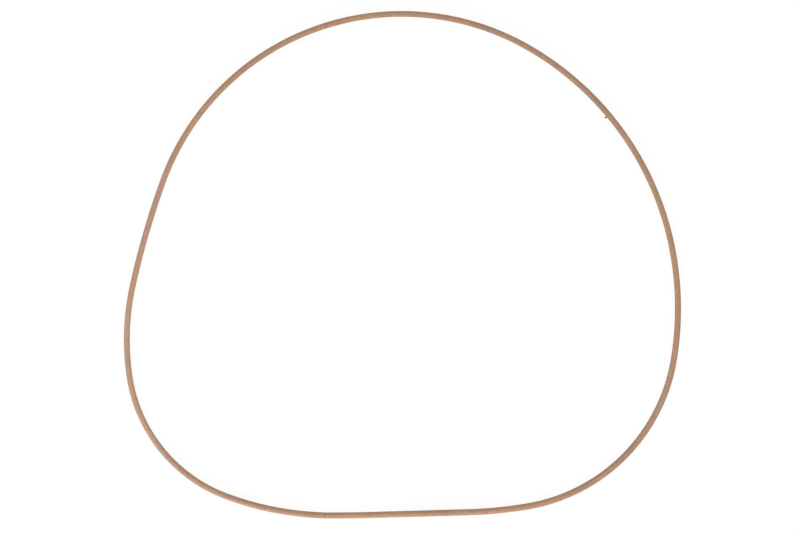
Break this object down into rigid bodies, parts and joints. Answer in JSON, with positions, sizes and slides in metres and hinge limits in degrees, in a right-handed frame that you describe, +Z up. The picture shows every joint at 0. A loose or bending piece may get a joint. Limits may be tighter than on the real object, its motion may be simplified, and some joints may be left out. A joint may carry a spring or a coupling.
{
  "type": "valve cover gasket",
  "caption": "Closed ring of round tan rubber that seals a valve cover to a cylinder head. It lies relaxed and flat, with a small moulding nib on its inner side.",
  "frame": {"origin": "under the middle of the ring's outer box, on the plane that it lies on", "axes": "+X along the longer overall size, +Y from the straight base towards the crown, +Z up out of the plane of the ring"},
  "size_m": [0.3738, 0.3406, 0.004],
  "materials": {
    "rubber": "matte moulded"
  },
  "bodies": {
    "root": {"gasket": "rubber"}
  },
  "joints": []
}
